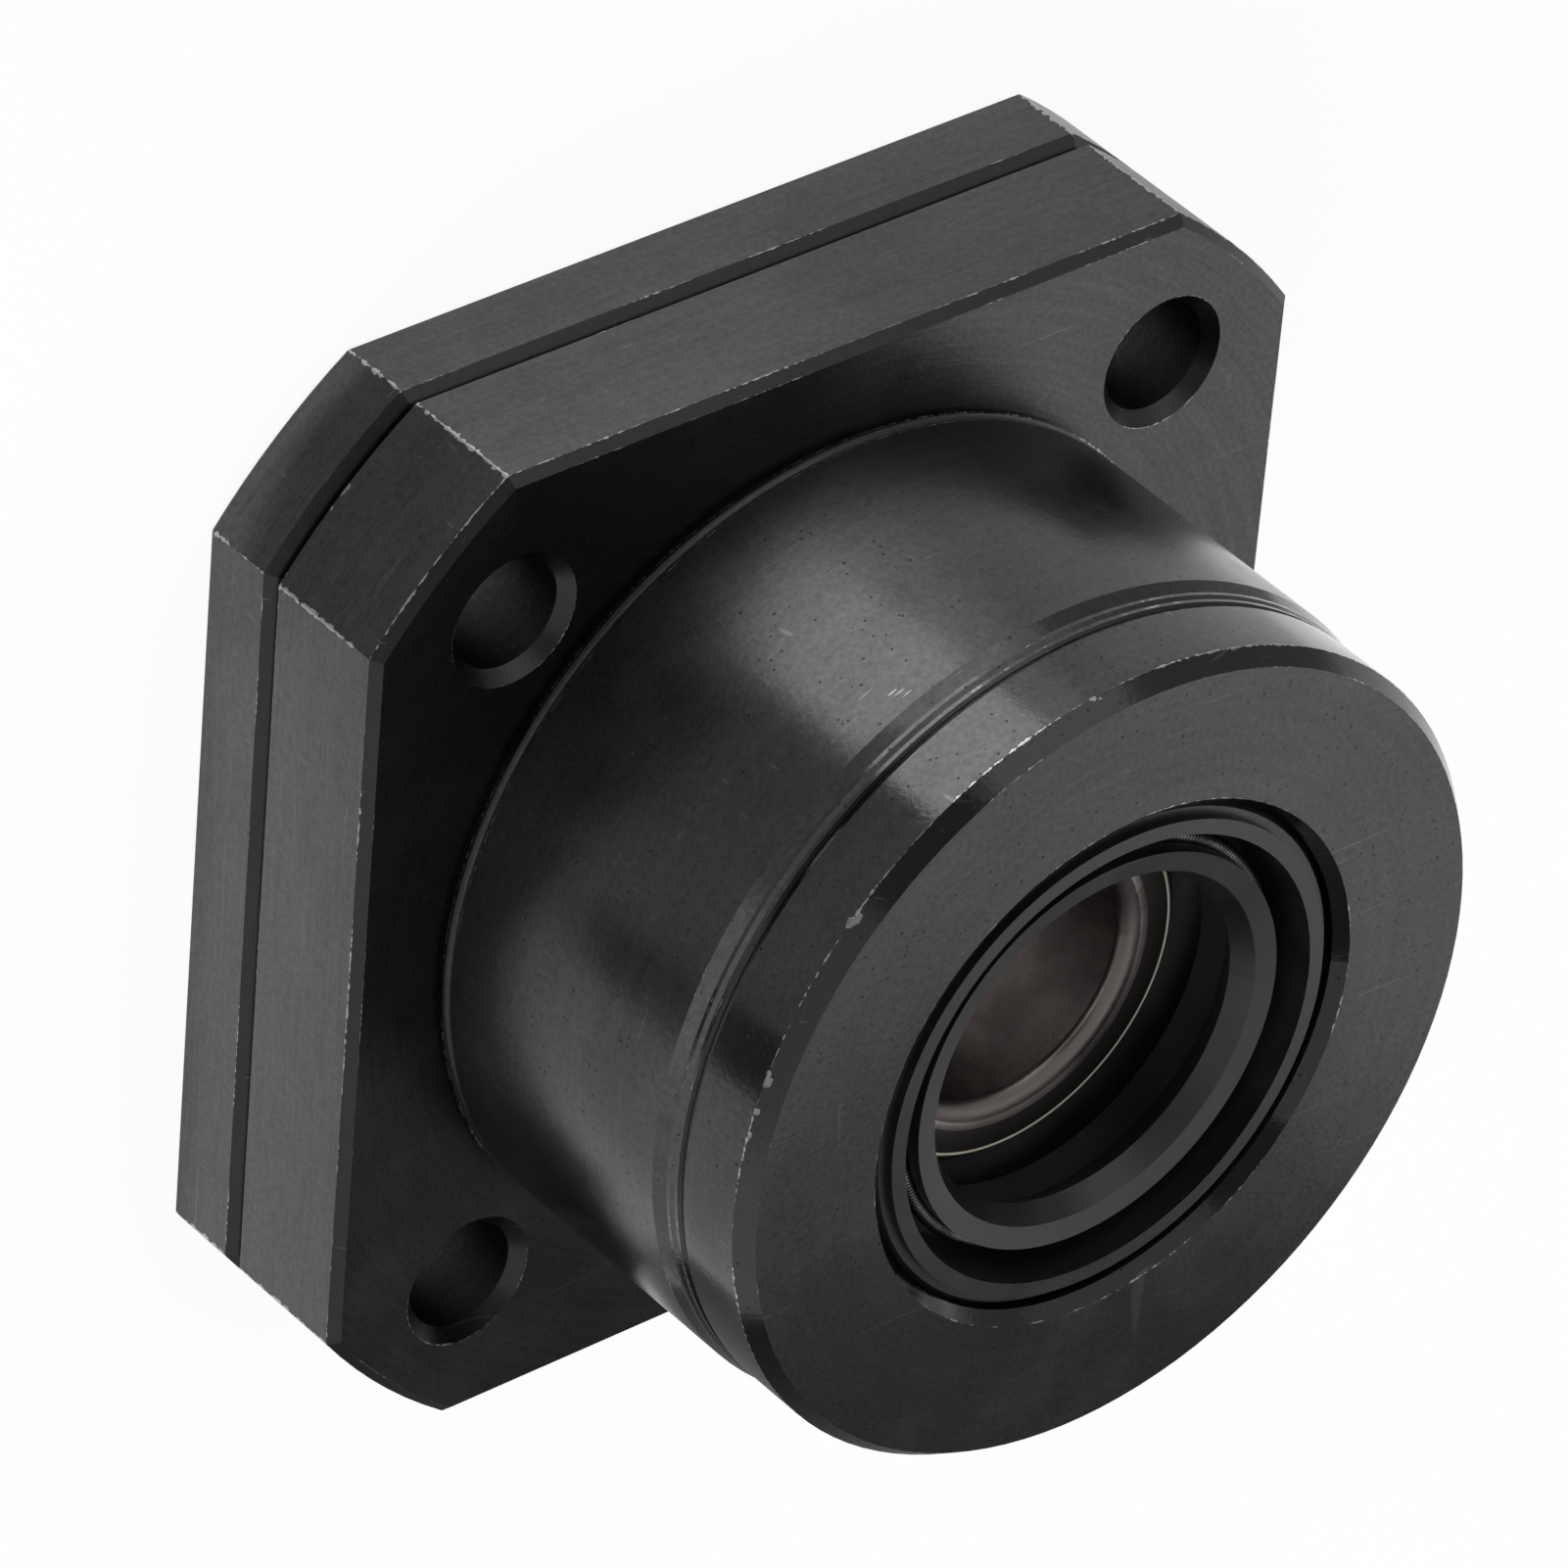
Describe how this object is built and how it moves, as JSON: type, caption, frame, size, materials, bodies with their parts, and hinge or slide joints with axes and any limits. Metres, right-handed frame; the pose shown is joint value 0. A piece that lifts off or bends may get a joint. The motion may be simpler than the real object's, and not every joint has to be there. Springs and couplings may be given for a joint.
{
  "type": "ball screw end support",
  "caption": "Flange-mounted fixed-side support unit for a ball screw end, with paired angular contact bearings, lip seals, a screwed-on lid and a round locating boss.",
  "frame": {"origin": "centre of the lid's back face, on the bore axis", "axes": "+Z along the bore axis from the lid to the nose of the boss; X and Y square to the four flats of the flange"},
  "size_m": [0.042, 0.042, 0.027],
  "materials": {
    "black_steel": "black oxide, satin, ground and turned",
    "screw_steel": "black oxide, satin",
    "bearing_steel": "ground",
    "ball_steel": "polished",
    "spring_steel": "bright drawn wire",
    "seal_rubber": "smooth moulded nitrile rubber",
    "cage_plastic": "moulded black polyamide"
  },
  "bodies": {
    "housing": {"housing": "black_steel", "lid": "black_steel", "lid_screw_1": "screw_steel", "lid_screw_2": "screw_steel", "lid_screw_3": "screw_steel", "lid_screw_4": "screw_steel", "front_seal": "seal_rubber", "front_garter_spring": "spring_steel", "rear_seal": "seal_rubber", "rear_garter_spring": "spring_steel", "front_outer_ring": "bearing_steel", "rear_outer_ring": "bearing_steel"},
    "front_inner_ring": {"front_inner_ring": "bearing_steel"},
    "front_ball_set": {"front_cage": "cage_plastic", "front_ball_1": "ball_steel", "front_ball_2": "ball_steel", "front_ball_3": "ball_steel", "front_ball_4": "ball_steel", "front_ball_5": "ball_steel", "front_ball_6": "ball_steel", "front_ball_7": "ball_steel", "front_ball_8": "ball_steel", "front_ball_9": "ball_steel"},
    "rear_inner_ring": {"rear_inner_ring": "bearing_steel"},
    "rear_ball_set": {"rear_cage": "cage_plastic", "rear_ball_1": "ball_steel", "rear_ball_2": "ball_steel", "rear_ball_3": "ball_steel", "rear_ball_4": "ball_steel", "rear_ball_5": "ball_steel", "rear_ball_6": "ball_steel", "rear_ball_7": "ball_steel", "rear_ball_8": "ball_steel", "rear_ball_9": "ball_steel"}
  },
  "joints": [
    {"name": "front_ring_spin", "type": "hinge", "parent": "housing", "child": "front_inner_ring", "pos_m": [0, 0, 0.0175], "axis": [0, 0, 1], "continuous": true},
    {"name": "front_balls_orbit", "type": "hinge", "parent": "housing", "child": "front_ball_set", "pos_m": [0, 0, 0.0175], "axis": [0, 0, 1], "continuous": true},
    {"name": "rear_ring_spin", "type": "hinge", "parent": "housing", "child": "rear_inner_ring", "pos_m": [0, 0, 0.0095], "axis": [0, 0, 1], "continuous": true},
    {"name": "rear_balls_orbit", "type": "hinge", "parent": "housing", "child": "rear_ball_set", "pos_m": [0, 0, 0.0095], "axis": [0, 0, 1], "continuous": true}
  ],
  "couplings": [
    {"joint": "front_balls_orbit", "follows": "front_ring_spin", "ratio": 0.3854},
    {"joint": "rear_balls_orbit", "follows": "rear_ring_spin", "ratio": 0.3854}
  ]
}
